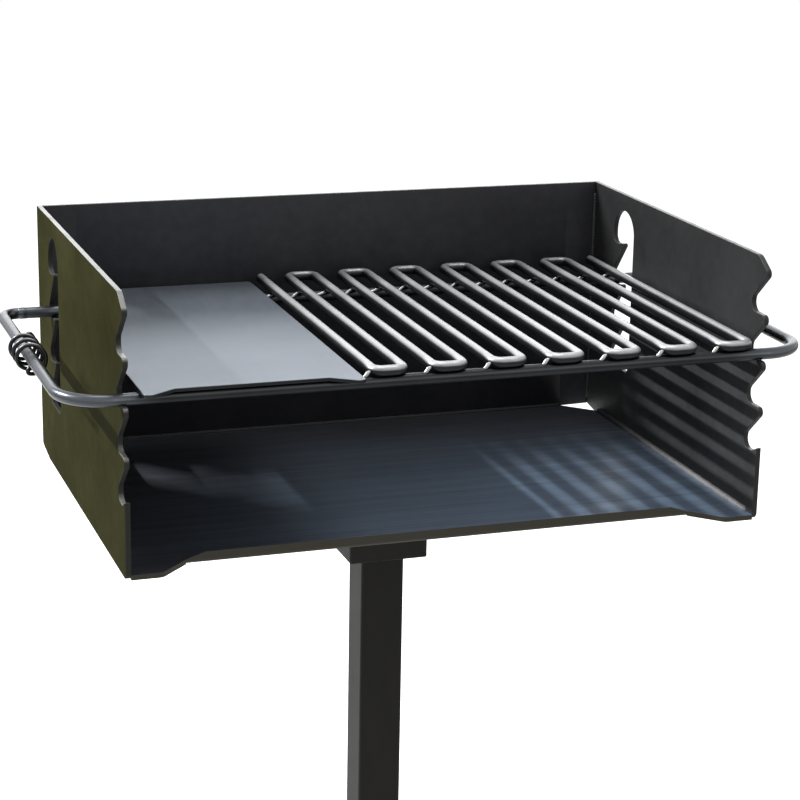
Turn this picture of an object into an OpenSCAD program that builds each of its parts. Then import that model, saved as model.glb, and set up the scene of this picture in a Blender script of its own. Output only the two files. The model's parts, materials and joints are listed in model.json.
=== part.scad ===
// Park charcoal grill: an open steel firebox on a square post, with a lift-out
// grate that carries a griddle plate and a run of cooking bars.
// X runs across the firebox, Y from front to back, Z up. All sizes are in millimetres.
// The origin is the middle of the foot of the post.

/* [Firebox] */
// Width over the two side plates
box_width = 610; // [560:5:720]
// Depth of a side plate, front edge to back edge
box_depth = 406; // [400:2:460]
// Height of the side and back plates
box_height = 254; // [252:1:300]
// Thickness of the firebox plates
plate = 4.8; // [3:0.1:7]
// How far the middle of the firebox stands in front of the post
box_forward = 28; // [0:1:60]
// Rounding of the lower corners of the side plates
lower_corner_r = 7; // [3:0.5:12]

/* [Floor] */
// Width of the flat tab at each front corner of the floor
tab_width = 28; // [15:1:45]
// How far the floor is set back between the tabs
floor_recess = 27; // [15:1:45]
// Slope of the edge between a tab and the set-back floor
tab_slope = 45; // [40:1:60]
// Rounding of the free corner of a tab
tab_corner_r = 9; // [3:0.5:15]
// Height of the turned-up front edge, floor thickness included
lip_height = 10.5; // [9:0.5:20]
// Length over which each end of the turned-up edge tapers down
lip_taper = 18; // [8:1:30]
// Outside radius of the bend of the turned-up edge
lip_bend_r = 4; // [2:0.5:6]
// Leg of the drain opening at each back corner
drain_leg = 32; // [20:1:45]

/* [Grate levels] */
// Number of heights that the grate can hang at
levels = 4; // [3:1:4]
// Height of the lowest ledge over the bottom of the firebox
ledge_low = 66; // [55:0.5:70]
// Depth of a notch behind the tooth tips
notch_depth = 27; // [24:0.5:32]
// Radius of the closed end of a notch
notch_r = 9; // [8:0.5:12]
// Radius of the nose of a tooth
nose_r = 5; // [3:0.5:8]
// Rise of the lip in front of the lowest front ledge
front_lip = 5.5; // [2:0.5:7]
// Radius of the nose of a tooth in the rear slot
hook_r = 2.5; // [1.5:0.5:4]
// Rise of a ledge of the rear slot towards its tip
hook_rise = 3; // [1:0.5:5]
// Rise angle of the cut above the top tooth
top_cut_angle = 32; // [20:1:45]
// Rounding of the top front corner
top_corner_r = 14; // [5:1:25]
// Distance from the front edge to the tooth tips of the rear slot
slot_tip = 321; // [300:1:340]
// Clear width of the straight run of the rear slot
slot_run = 23; // [20:0.5:28]
// Height of the rear slot over its highest ledge
slot_head = 37.5; // [30:0.5:42]
// Steel left between the head of the rear slot and the top edge
slot_margin = 17; // [10:0.5:30]
// Radius of the bottom front corner of the rear slot
slot_corner_r = 8; // [4:0.5:9]

/* [Grate frame] */
// Diameter of the frame rods
rod_d = 11.1; // [9:0.1:12.7]
// Distance that a handle stands out from a side plate, to the middle of its rod
handle_reach = 49; // [38:0.5:70]
// Distance of the middle of the front rod behind the front edge
rod_seat = 10; // [8:0.1:15]
// Bend radius of the front corners of the frame
front_bend_r = 42; // [30:1:60]
// Bend radius of the rear corners of the frame
rear_bend_r = 16; // [12:1:25]
// Number of the ledge that the grate hangs on, counted from the bottom
ledge_number = 3; // [1:1:3]
// Gap between the frame rods and the plates that they lie on
seat_gap = 0.3; // [0.2:0.05:0.6]

/* [Griddle] */
// Width of the griddle plate
griddle_width = 198; // [150:1:220]
// Thickness of the griddle plate
griddle_thickness = 3.5; // [3:0.1:6]
// Gap between the griddle plate and the left side plate
griddle_side_gap = 10.5; // [5:0.5:25]
// How far the middle of the front edge stands in front of the firebox
griddle_front = -2; // [-4:1:20]
// How far the front corners stand in front of the front edge
griddle_horn = 15; // [4:0.5:20]
// Width of a front corner
griddle_horn_width = 8; // [6:0.5:18]
// Length of the slope beside a front corner
griddle_slope = 22; // [10:1:30]
// Corner rounding of the griddle plate
griddle_corner_r = 5; // [2:0.5:8]
// Gap between the griddle plate and the back plate
griddle_back_gap = 20; // [10:1:40]

/* [Cooking bars] */
// Diameter of the bar
bar_d = 9.5; // [8:0.1:11]
// Number of straight runs, always an even number
bar_runs = 14; // [8:2:14]
// Least gap between the griddle plate and the first run
griddle_bar_gap = 8; // [5:0.5:20]
// Corner radius of a turn, to the middle of the bar
turn_r = 9; // [7:0.5:11.5]
// Gap between the last run and the right side plate
bar_side_gap = 5; // [4:0.5:30]
// Gap between the rear bends and the back plate
bar_back_gap = 9; // [5:0.5:30]
// How far the front turns stand in front of the middle of the front rod
bar_lead = 3; // [0:0.5:4]

/* [Spring grips] */
// Diameter of the grip wire
grip_wire = 4; // [3:0.1:5]
// Bend radius where the wire turns in to the handle
grip_bend_r = 2.6; // [2.2:0.1:4]
// Turns of a grip
grip_turns = 3.5; // [2:0.5:5]
// Rise of the wire in one turn
grip_pitch = 18; // [10:0.5:20]
// Side of the handle that the front end of a grip stands on
grip_angle = 240; // [0:15:345]
// Distance of a grip behind the middle of its handle
grip_set = 14; // [0:1:20]

/* [Post and socket] */
// Length of the post, foot to the underside of the floor
post_length = 1118; // [600:1:1400]
// Width of the square post
post_width = 44.5; // [38:0.5:52]
// Wall of the post
post_wall = 3.2; // [2:0.1:5]
// Outside corner radius of the post
post_corner_r = 3.5; // [2:0.5:6]
// Outside width of the socket under the floor
socket_width = 81; // [74:0.5:100]
// Height of the socket
socket_height = 78; // [60:1:110]
// Wall of the socket
socket_wall = 4.8; // [3:0.1:7]
// Outside corner radius of the socket
socket_corner_r = 3; // [2:0.5:4]
// Thickness of the two collars in the socket
collar_thickness = 6.4; // [4:0.1:9]
// Clearance of the post in the collars, all round
post_clearance = 0.4; // [0.2:0.1:1]

/* [Bolts] */
// Diameter of the two bolts through socket and post
bolt_d = 9.5; // [8:0.1:12]
// Clearance of a bolt in its holes, all round
bolt_clearance = 0.4; // [0.2:0.1:1]
// Width across flats of bolt head and nut
hex_flats = 14.3; // [13:0.1:19]
// Height of the bolt head
head_height = 6.2; // [5:0.1:9]
// Height of the nut
nut_height = 8.3; // [6:0.1:10]
// Clearance between bolt and nut, all round
thread_clearance = 0.05; // [0.02:0.01:0.1]
// Outside diameter of a washer
washer_d = 20.6; // [18:0.1:24]
// Thickness of a washer
washer_thickness = 1.6; // [1:0.1:3]
// Length of bolt beyond the nut
bolt_tail = 4; // [2:0.5:10]
// Distance of the upper bolt below the floor
bolt_drop = 22; // [18:0.5:26]
// Distance between the bolts
bolt_spacing = 30; // [26:0.5:34]

/* [Welds] */
// Leg of the beads inside the firebox and round the socket
bead_leg = 4.5; // [3:0.1:7]
// Distance that a bead stops short of an edge or an opening
bead_stop = 12; // [8:1:30]
// Diameter of the beads that join the bars to the frame
bar_bead_d = 4; // [3:0.1:5]
// Length of such a bead, between the middles of its ends
bar_bead_length = 4; // [2:0.5:6]
// Diameter of the beads under the griddle
griddle_bead_d = 4; // [3:0.1:5]
// Length of a bead under the griddle
griddle_bead_length = 30; // [15:1:45]
// Height of the crown of the butt welds over the rod
butt_height = 0.9; // [0.5:0.1:2]
// Space between hoop and rear rod that a butt weld fills
butt_width = 5; // [3:0.1:6]
// Gap between pieces that are welded together
weld_gap = 0.1; // [0.05:0.05:0.2]

/* [Hidden] */
$fn = 64;
// Overrun of a cut past the face that it opens
past = 1;
// Overlap of flat shapes that are joined into one outline
lap = 0.01;

// Firebox
floor_z = post_length;
front_y = -box_forward - box_depth / 2;
back_y = front_y + box_depth;
inner_back_y = back_y - plate;
inner_x = box_width / 2 - plate;
recess_y = front_y + floor_recess;
lip_half = inner_x - tab_width - floor_recess / tan(tab_slope);

// Notches, measured from the tooth tips and up from a ledge. The ledges share the height evenly.
notch_centre = [notch_depth - notch_r, notch_r];
ledge_step = (box_height - ledge_low - slot_head - slot_margin) / (levels - 1);
ledge_top = ledge_low + (levels - 1) * ledge_step;
nose_z = ledge_step - nose_r;
dome_r = (notch_depth + slot_run) / 2;
dome_z = ledge_top + slot_head - dome_r;

// Grate frame
rod_r = rod_d / 2;
grate_z = floor_z + ledge_low + (ledge_number - 1) * ledge_step + rod_r + seat_gap;
handle_x = box_width / 2 + handle_reach;
front_rod_y = front_y + rod_seat;
front_rod_half = handle_x - front_bend_r;
rear_rod_y = front_y + slot_tip + notch_centre[0];
rear_rod_half = handle_x - rear_bend_r;

// Griddle and cooking bars
griddle_left = -inner_x + griddle_side_gap;
griddle_right = griddle_left + griddle_width;
griddle_front_y = front_y - griddle_front;
griddle_back_y = inner_back_y - griddle_back_gap;
griddle_z = grate_z + rod_r + weld_gap;
bar_r = bar_d / 2;
bar_z = grate_z + rod_r + bar_r + weld_gap;
bar_last_x = inner_x - bar_side_gap - bar_r;
bar_space = bar_last_x - bar_r - griddle_bar_gap - griddle_right;
pitch_grain = 0.1;
bar_pitch = floor(bar_space / (bar_runs - 1) / pitch_grain) * pitch_grain;
bar_rear_y = inner_back_y - bar_back_gap - bar_r;
bar_front_y = front_rod_y - bar_lead;

// Socket and bolts
collar_width = socket_width - 2 * socket_wall;
bolt_hole_d = bolt_d + 2 * bolt_clearance;
bolt_heights = [floor_z - bolt_drop, floor_z - bolt_drop - bolt_spacing];
bolt_face = socket_width / 2;
nut_face = bolt_face + washer_thickness;

// Spring grips
grip_r = rod_r + grip_wire + grip_bend_r;
grip_y = (front_rod_y + rear_rod_y) / 2 + grip_set;
grip_rings = 8;
grip_sides = 6;
grip_bend_steps = 3;

// X of a run of the cooking bar, counted from the left
function run_x(i) = bar_last_x - (bar_runs - 1 - i) * bar_pitch;

// Sliver between a corner and the arc that rounds it. Its sides leave the corner at two angles.
module corner_sliver(corner, angle_a, angle_b, r, reach = 0) {
  side_a = [cos(angle_a), sin(angle_a)];
  side_b = [cos(angle_b), sin(angle_b)];
  half = acos(side_a * side_b) / 2;
  middle = (side_a + side_b) / norm(side_a + side_b);
  difference() {
    polygon([corner - reach * middle, corner + side_a * r / tan(half), corner + side_b * r / tan(half)]);
    translate(corner + middle * r / sin(half)) circle(r);
  }
}

// Square with round corners
module soft_square(width, r) {
  square([width, width - 2 * r], center = true);
  square([width - 2 * r, width], center = true);
  for (x = [-1, 1], y = [-1, 1]) translate([x, y] * (width / 2 - r)) circle(r);
}

// One notch, open to the front: a round pocket, the ledge in front of it and a slanted wall
// that runs up to the nose of the next tooth. A ledge with a hook rises towards its tip.
module notch(r, hook = 0, lip = 0, lowest = false) {
  rise = lowest ? 0 : hook;
  nose = [r, ledge_step + hook - r];
  step = nose - notch_centre;
  angle = atan2(step[1], step[0]) + asin((notch_r + r) / norm(step));
  normal = [sin(angle), -cos(angle)];
  flat_x = notch_centre[0] - notch_r / 2;
  difference() {
    polygon([
      notch_centre, [notch_centre[0], 0], [flat_x, 0], [r + lip, rise * (1 - (r + lip) / flat_x)], [0, rise + lip],
      [-past, rise + lip], [-past, nose[1]], [0, nose[1]],
      nose - (r - lap) * normal, notch_centre + (notch_r - lap) * normal
    ]);
    translate(nose) circle(r);
  }
  translate(notch_centre) circle(notch_r);
  if (!lowest) corner_sliver([0, rise], atan2(-rise, flat_x), -90, r, past);
}

// Cut that takes the top front corner of a side plate off, down to the top tooth
module top_cut() {
  rise = [cos(top_cut_angle), sin(top_cut_angle)];
  top_nose_z = ledge_top + nose_z;
  start = [nose_r, top_nose_z] + nose_r * [-rise[1], rise[0]];
  stop = start + rise * (box_height + past - start[1]) / rise[1];
  difference() {
    polygon([[-past, top_nose_z], [0, top_nose_z], start, stop, [-past, box_height + past]]);
    translate([nose_r, top_nose_z]) circle(nose_r);
  }
  corner_sliver([stop[0] - past / tan(top_cut_angle), box_height], 0, 180 + top_cut_angle, top_corner_r, past);
}

// Closed slot for the rear rod: a straight run with the notches behind it and a round top
module rear_slot() {
  for (i = [0:levels - 2]) translate([0, ledge_low + i * ledge_step]) notch(hook_r, hook_rise, 0, i == 0);
  intersection() {
    translate([0, ledge_top]) notch(hook_r, hook_rise);
    translate([-slot_run, 0]) square([notch_depth + slot_run, dome_z]);
  }
  translate([-slot_run, ledge_low + slot_corner_r])
    square([slot_run + lap, dome_z - ledge_low - slot_corner_r]);
  translate([-slot_run + slot_corner_r, ledge_low])
    square([slot_run - slot_corner_r + notch_centre[0], slot_corner_r + lap]);
  translate([-slot_run, ledge_low] + [slot_corner_r, slot_corner_r]) circle(slot_corner_r);
  translate([0, ledge_top + notch_r]) square([notch_depth, dome_z - ledge_top - notch_r]);
  translate([notch_depth - dome_r, dome_z]) intersection() {
    circle(dome_r);
    translate([-dome_r, -lap]) square([2 * dome_r, dome_r + lap]);
  }
}

// Outline of a side plate, from its front edge back and from its bottom up
module side_outline() {
  difference() {
    square([box_depth, box_height]);
    for (i = [0:levels - 1]) translate([0, ledge_low + i * ledge_step]) notch(nose_r, 0, i == 0 ? front_lip : 0, i == 0);
    top_cut();
    translate([slot_tip, 0]) rear_slot();
    corner_sliver([0, 0], 0, 90, lower_corner_r, past);
    corner_sliver([box_depth, 0], 180, 90, lower_corner_r, past);
  }
}

module side_plate() {
  translate([0, front_y, floor_z]) rotate([90, 0, 90]) linear_extrude(plate) side_outline();
}

module left_side_plate() {
  color("#3a3b37") translate([-box_width / 2, 0, 0]) side_plate();
}

module right_side_plate() {
  color("#35363a") translate([inner_x, 0, 0]) side_plate();
}

module back_plate() {
  color("#33343a") translate([-inner_x, inner_back_y, floor_z]) cube([2 * inner_x, plate, box_height]);
}

// Outline of the floor, with its front tabs and its open back corners
module floor_outline() {
  tab_x = inner_x - tab_width;
  difference() {
    polygon([
      [-inner_x, front_y], [-tab_x, front_y], [-lip_half, recess_y],
      [lip_half, recess_y], [tab_x, front_y], [inner_x, front_y],
      [inner_x, inner_back_y - drain_leg], [inner_x - drain_leg, inner_back_y],
      [-inner_x + drain_leg, inner_back_y], [-inner_x, inner_back_y - drain_leg]
    ]);
    corner_sliver([-tab_x, front_y], 180, tab_slope, tab_corner_r, past);
    corner_sliver([tab_x, front_y], 0, 180 - tab_slope, tab_corner_r, past);
  }
}

// Turned-up front edge, seen from the side and cut to its tapered front view
module floor_lip() {
  intersection() {
    translate([-lip_half, recess_y, 0]) rotate([90, 0, 90]) linear_extrude(2 * lip_half) {
      square([plate, lip_height]);
      corner_sliver([plate, plate], 0, 90, lip_bend_r, plate / 2);
    }
    translate([0, recess_y + 2 * plate + lip_bend_r, 0]) rotate([90, 0, 0])
      linear_extrude(3 * plate + lip_bend_r) polygon([
        [-lip_half, 0], [-lip_half, plate], [-lip_half + lip_taper, lip_height],
        [lip_half - lip_taper, lip_height], [lip_half, plate], [lip_half, 0]
      ]);
  }
}

module floor_plate() {
  color("#2c3138") translate([0, 0, floor_z]) difference() {
    union() {
      linear_extrude(plate) floor_outline();
      floor_lip();
    }
    translate([-lip_half, recess_y, 0]) rotate([90, 0, 90])
      linear_extrude(2 * lip_half) corner_sliver([0, 0], 0, 90, lip_bend_r, past);
  }
}

// Quarter-round weld bead that fills a corner, running along +Y from its start
module bead(length) {
  rotate([-90, 0, 0]) linear_extrude(length) intersection() {
    circle(bead_leg);
    translate([0, -bead_leg]) square(bead_leg);
  }
}

module floor_welds() {
  side_length = inner_back_y - drain_leg - front_y - 2 * bead_stop;
  back_length = 2 * (inner_x - drain_leg - bead_stop);
  color("#4a4c50") translate([0, 0, floor_z + plate]) {
    translate([-inner_x, front_y + bead_stop, 0]) bead(side_length);
    mirror([1, 0, 0]) translate([-inner_x, front_y + bead_stop, 0]) bead(side_length);
    translate([-back_length / 2, inner_back_y, 0]) rotate(-90) bead(back_length);
  }
}

module corner_welds() {
  length = box_height - 2 * bead_stop;
  color("#4a4c50") for (side = [0, 1]) mirror([side, 0, 0])
    translate([-inner_x, inner_back_y, floor_z + bead_stop]) rotate([90, 0, 0]) bead(length);
}

module socket_sleeve() {
  color("#26251f") difference() {
    translate([0, 0, floor_z - socket_height]) linear_extrude(socket_height) difference() {
      soft_square(socket_width, socket_corner_r);
      square(collar_width, center = true);
    }
    bolt_holes(socket_width);
  }
}

// Holes for the two bolts, along X
module bolt_holes(width) {
  for (z = bolt_heights) translate([-width / 2 - past, 0, z]) rotate([0, 90, 0])
    cylinder(d = bolt_hole_d, h = width + 2 * past);
}

module collar() {
  linear_extrude(collar_thickness) difference() {
    square(collar_width, center = true);
    soft_square(post_width + 2 * post_clearance, post_corner_r);
  }
}

module socket_collars() {
  color("#2b2a26") {
    translate([0, 0, floor_z - collar_thickness]) collar();
    translate([0, 0, floor_z - socket_height]) collar();
  }
}

module socket_welds() {
  length = socket_width - 2 * bead_stop;
  color("#34332f") for (turn = [0:90:270]) rotate(turn)
    translate([socket_width / 2, length / 2, floor_z]) rotate([180, 0, 0]) bead(length);
}

module post() {
  color("#23211d") difference() {
    linear_extrude(post_length) difference() {
      soft_square(post_width, post_corner_r);
      square(post_width - 2 * post_wall, center = true);
    }
    bolt_holes(post_width);
  }
}

module hexagon_prism(height) {
  cylinder(d = hex_flats / cos(30), h = height, $fn = 6);
}

module socket_bolts() {
  color("#57564f") for (z = bolt_heights) translate([-nut_face, 0, z]) rotate([0, 90, 0]) {
    translate([0, 0, -head_height]) hexagon_prism(head_height);
    cylinder(d = bolt_d, h = 2 * nut_face + nut_height + bolt_tail);
  }
}

module bolt_washers() {
  color("#6a6962") for (z = bolt_heights, x = [-nut_face, bolt_face]) translate([x, 0, z]) rotate([0, 90, 0])
    difference() {
      cylinder(d = washer_d, h = washer_thickness);
      translate([0, 0, -past]) cylinder(d = bolt_hole_d, h = washer_thickness + 2 * past);
    }
}

module bolt_nuts() {
  color("#57564f") for (z = bolt_heights) translate([nut_face, 0, z]) rotate([0, 90, 0])
    difference() {
      hexagon_prism(nut_height);
      translate([0, 0, -past]) cylinder(d = bolt_d + 2 * thread_clearance, h = nut_height + 2 * past);
    }
}

// Arc of round rod about the Z axis through a centre, from one angle through a sweep
module rod_arc(centre, r, start, sweep, d) {
  translate(centre) rotate(start) rotate_extrude(angle = sweep, $fn = 96) translate([r, 0]) circle(d = d, $fn = 32);
}

// Straight rod along +Y
module rod_along_y(x, y, z, length, d) {
  translate([x, y, z]) rotate([-90, 0, 0]) cylinder(d = d, h = length);
}

// Straight rod along X, from one side of the middle to the other
module rod_along_x(half, y, z, d) {
  translate([-half, y, z]) rotate([0, 90, 0]) cylinder(d = d, h = 2 * half);
}

// Front rod, both front corners, both handles and both rear corners, bent from one rod
module grate_hoop() {
  front_bend_y = front_rod_y + front_bend_r;
  rear_bend_y = rear_rod_y - rear_bend_r;
  color("#2e3033") {
    rod_along_x(front_rod_half, front_rod_y, grate_z, rod_d);
    for (side = [0, 1]) mirror([side, 0, 0]) {
      rod_arc([front_rod_half, front_bend_y, grate_z], front_bend_r, -90, 90, rod_d);
      rod_along_y(handle_x, front_bend_y, grate_z, rear_bend_y - front_bend_y, rod_d);
      rod_arc([rear_rod_half, rear_bend_y, grate_z], rear_bend_r, 0, 90, rod_d);
    }
  }
}

module rear_rod() {
  color("#2e3033") rod_along_x(rear_rod_half - butt_width, rear_rod_y, grate_z, rod_d);
}

// Welds with a round crown, between the ends of the hoop and the ends of the rear rod
module hoop_welds() {
  crown_r = rod_r + butt_height;
  width = butt_width - 2 * weld_gap;
  color("#3a3c40") for (side = [-1, 1])
    translate([side * (rear_rod_half - butt_width / 2), rear_rod_y, grate_z]) rotate([0, 90, 0])
      rotate_extrude() intersection() {
        translate([crown_r - butt_width, 0]) circle(butt_width);
        translate([0, -width / 2]) square([crown_r, width]);
      }
}

// Outline of the griddle, with two front corners that stand forward of the edge
module griddle_outline() {
  horn_y = griddle_front_y - griddle_horn;
  slope_x = griddle_horn_width + griddle_slope;
  difference() {
    polygon([
      [griddle_left, griddle_back_y], [griddle_left, horn_y],
      [griddle_left + griddle_horn_width, horn_y], [griddle_left + slope_x, griddle_front_y],
      [griddle_right - slope_x, griddle_front_y], [griddle_right - griddle_horn_width, horn_y],
      [griddle_right, horn_y], [griddle_right, griddle_back_y]
    ]);
    corner_sliver([griddle_left, horn_y], 0, 90, griddle_corner_r, past);
    corner_sliver([griddle_right, horn_y], 180, 90, griddle_corner_r, past);
    corner_sliver([griddle_left, griddle_back_y], 0, -90, griddle_corner_r, past);
    corner_sliver([griddle_right, griddle_back_y], 180, -90, griddle_corner_r, past);
  }
}

module griddle_plate() {
  color("#8e97a3") translate([0, 0, griddle_z]) linear_extrude(griddle_thickness) griddle_outline();
}

// Beads in the corners between the frame rods and the underside of the griddle
module griddle_welds() {
  bead_r = griddle_bead_d / 2;
  aside = 2 * sqrt(rod_r * bead_r) + weld_gap;
  color("#4a4c50") for (x = [griddle_left + griddle_width / 4, griddle_left + griddle_width * 3 / 4])
    for (y = [front_rod_y + aside, rear_rod_y - aside])
      translate([x, y, griddle_z - bead_r]) rod_along_x(griddle_bead_length / 2, 0, 0, griddle_bead_d - weld_gap);
}

// Turn of the bar from one run to the next, towards the front or the back
module bar_turn(x, y, back) {
  translate([x + bar_pitch / 2, y, bar_z]) rotate(back ? 180 : 0) {
    for (side = [0, 1]) mirror([side, 0, 0]) rod_arc([bar_pitch / 2 - turn_r, turn_r, 0], turn_r, -90, 90, bar_d);
    rod_along_x(bar_pitch / 2 - turn_r, 0, 0, bar_d);
  }
}

// One rod bent to and fro: straight runs joined by turns at the front and at the back
module cooking_bars() {
  start_y = bar_front_y + turn_r;
  color("#3c3f44") {
    for (i = [0:bar_runs - 1]) {
      at_end = i == 0 || i == bar_runs - 1;
      rod_along_y(run_x(i), start_y, bar_z, bar_rear_y - start_y - (at_end ? 0 : turn_r), bar_d);
    }
    for (i = [0:2:bar_runs - 2]) bar_turn(run_x(i), bar_front_y, false);
    for (i = [1:2:bar_runs - 3]) bar_turn(run_x(i), bar_rear_y, true);
  }
}

// Weld bead with round ends, from its first end along +X
module round_bead(length, d) {
  rotate([0, 90, 0]) cylinder(d = d, h = length);
  for (x = [0, length]) translate([x, 0, 0]) sphere(d = d);
}

// Slanted beads on top of the frame rods: right of each run on the rear rod, left of each front turn
module bar_welds() {
  bead_r = bar_bead_d / 2;
  aside = sqrt(pow(bar_r + bead_r + weld_gap, 2) - pow(bar_r - bead_r, 2));
  turn_x = turn_r - sqrt(pow(turn_r + aside, 2) - pow(turn_r - bar_lead, 2));
  color("#4a4c50") translate([0, 0, grate_z + rod_r + weld_gap + bead_r]) {
    for (i = [0:bar_runs - 1]) translate([run_x(i) + aside, rear_rod_y, 0])
      rotate(45) round_bead(bar_bead_length, bar_bead_d);
    for (i = [0:2:bar_runs - 2]) translate([run_x(i) + turn_x, front_rod_y, 0])
      rotate(225) round_bead(bar_bead_length, bar_bead_d);
  }
}

// Middle line of a grip about the Y axis: it leaves the handle square, turns, winds and comes back
function grip_point(r, angle, y) = [r * cos(angle), y, r * sin(angle)];
function grip_turn_in(angle, y, sign) = [
  for (k = [0:grip_bend_steps])
    let (a = 90 * k / grip_bend_steps, across = grip_bend_r * (1 - cos(a)), in = grip_bend_r * (1 - sin(a)))
      grip_point(grip_r - in, angle, y) + sign * across * [-sin(angle), 0, cos(angle)]
];
grip_length = grip_turns * grip_pitch;
grip_lead = asin(grip_bend_r / grip_r);
grip_winding = [
  for (k = [1:grip_turns * grip_rings - 1])
    let (f = k / (grip_turns * grip_rings))
      grip_point(grip_r, grip_lead + f * (360 * grip_turns - 2 * grip_lead), f * grip_length)
];
grip_start = grip_turn_in(0, 0, 1);
grip_stop = grip_turn_in(360 * grip_turns, grip_length, -1);
grip_path = concat(
  [grip_point(rod_r + weld_gap / 2, 0, 0)],
  grip_start,
  grip_winding,
  [for (k = [len(grip_stop) - 1:-1:0]) grip_stop[k]],
  [grip_point(rod_r + weld_gap / 2, 360 * grip_turns, grip_length)]
);

function unit(v) = v / norm(v);
function path_tangent(path, k) =
  unit(path[min(k + 1, len(path) - 1)] - path[max(k - 1, 0)]);
function ring(path, k) =
  let (t = path_tangent(path, k), b = unit([0, 1, 0] - t[1] * t), n = cross(t, b))
    [for (s = [0:grip_sides - 1])
      path[k] + grip_wire / 2 * (cos(360 * s / grip_sides) * n + sin(360 * s / grip_sides) * b)];

// Tube swept along a path, with flat ends
module tube(path) {
  rings = [for (k = [0:len(path) - 1]) each ring(path, k)];
  last = (len(path) - 1) * grip_sides;
  walls = [
    for (k = [0:len(path) - 2], s = [0:grip_sides - 1])
      let (a = k * grip_sides + s, b = k * grip_sides + (s + 1) % grip_sides)
        each [[a, a + grip_sides, b], [b, a + grip_sides, b + grip_sides]]
  ];
  ends = [
    for (s = [1:grip_sides - 2])
      each [[0, s, s + 1], [last, last + s + 1, last + s]]
  ];
  polyhedron(rings, concat(walls, ends));
}

// Least gap between turns of a grip that lie half a turn or more apart along the wire
grip_gap = min([
  for (a = [0:len(grip_path) - 1], b = [0:len(grip_path) - 1])
    if (b - a > grip_rings / 2 + grip_bend_steps) norm(grip_path[a] - grip_path[b]) - grip_wire
]);
echo(grip_gap = grip_gap);

module spring_grip() {
  translate([0, grip_y - grip_length / 2, grate_z]) rotate([0, -grip_angle, 0]) tube(grip_path);
}

module left_spring_grip() {
  color("#5b5f63") translate([-handle_x, 0, 0]) spring_grip();
}

module right_spring_grip() {
  color("#5b5f63") translate([handle_x, 0, 0]) spring_grip();
}

left_side_plate();
right_side_plate();
back_plate();
floor_plate();
floor_welds();
corner_welds();
socket_sleeve();
socket_collars();
socket_welds();
post();
socket_bolts();
bolt_washers();
bolt_nuts();
grate_hoop();
rear_rod();
hoop_welds();
griddle_plate();
griddle_welds();
cooking_bars();
bar_welds();
left_spring_grip();
right_spring_grip();
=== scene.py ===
# %% [markdown]
# This file dresses the steel frame of a park charcoal grill for a picture. The frame comes from the
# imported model: every plate, rod, bolt and weld has its place and size there. Blender adds what a
# frame can't say: worn enamel, brushed and heated steel, rounded edges, weld ripples and wire that
# is truly round. Everything is in metres, with the foot of the post at the origin, X across the
# firebox, Y towards the back plate and Z up.

# %% Load the frame
import json
import math
import bmesh
import bpy
from mathutils import Matrix, Vector

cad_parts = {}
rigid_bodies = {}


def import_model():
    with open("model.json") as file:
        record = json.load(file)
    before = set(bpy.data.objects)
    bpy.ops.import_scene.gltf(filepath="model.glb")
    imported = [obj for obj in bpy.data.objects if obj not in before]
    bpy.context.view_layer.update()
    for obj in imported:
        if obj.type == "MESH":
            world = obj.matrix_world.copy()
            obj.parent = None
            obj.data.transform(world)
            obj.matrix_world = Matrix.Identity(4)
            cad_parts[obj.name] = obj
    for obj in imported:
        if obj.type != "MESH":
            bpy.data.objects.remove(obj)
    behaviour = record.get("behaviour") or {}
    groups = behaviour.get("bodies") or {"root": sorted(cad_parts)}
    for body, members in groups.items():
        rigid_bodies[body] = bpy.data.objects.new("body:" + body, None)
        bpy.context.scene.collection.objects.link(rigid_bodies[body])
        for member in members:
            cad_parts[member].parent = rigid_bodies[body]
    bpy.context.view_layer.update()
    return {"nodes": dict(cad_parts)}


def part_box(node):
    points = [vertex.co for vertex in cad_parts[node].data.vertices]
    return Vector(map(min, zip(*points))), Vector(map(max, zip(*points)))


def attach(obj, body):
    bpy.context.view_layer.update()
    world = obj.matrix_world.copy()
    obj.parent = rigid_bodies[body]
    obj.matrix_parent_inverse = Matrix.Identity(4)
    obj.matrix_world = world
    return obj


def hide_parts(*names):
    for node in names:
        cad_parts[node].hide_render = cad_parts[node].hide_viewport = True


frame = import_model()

nodes = frame["nodes"]

# %% [markdown]
# The camera stands in front and to the left of the firebox, a little above the rim, and looks down
# on the grate. Its turns were found by matching the corners of the firebox, the notches and the rods
# with the photograph. A camera is built from three directions: right, up and backwards. They are the
# columns of its matrix, and its place is the fourth. A long lens and a very small shift give the frame.

# %% Camera
CAMERA_PLACE = Vector((-0.68497, -2.06571, 1.81463))
CAMERA_YAW = math.radians(19.662)
CAMERA_TILT = math.radians(16.148)
CAMERA_ROLL = math.radians(1.260)
SENSOR_WIDTH = 36
LENS = 102.43
SHIFT = (-0.0361, 0.0144)
FARTHEST = 50


def camera_axes(yaw, tilt, roll):
    """Right, up and backward directions of a camera that looks along +Y before it is turned."""
    forward = Vector((math.sin(yaw) * math.cos(tilt), math.cos(yaw) * math.cos(tilt), -math.sin(tilt)))
    level = Vector((math.cos(yaw), -math.sin(yaw), 0))
    above = level.cross(forward)
    right = math.cos(roll) * level + math.sin(roll) * above
    up = -math.sin(roll) * level + math.cos(roll) * above
    return right, up, -forward


camera_data = bpy.data.cameras.new("camera")
camera_data.sensor_width = SENSOR_WIDTH
camera_data.lens = LENS
camera_data.shift_x, camera_data.shift_y = SHIFT
camera_data.clip_end = FARTHEST
camera = bpy.data.objects.new("camera", camera_data)
camera_turn = Matrix(camera_axes(CAMERA_YAW, CAMERA_TILT, CAMERA_ROLL)).transposed().to_4x4()
camera.matrix_world = Matrix.Translation(CAMERA_PLACE) @ camera_turn
bpy.context.scene.collection.objects.link(camera)
bpy.context.scene.camera = camera
print("camera at", tuple(round(v, 3) for v in camera.location))

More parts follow.
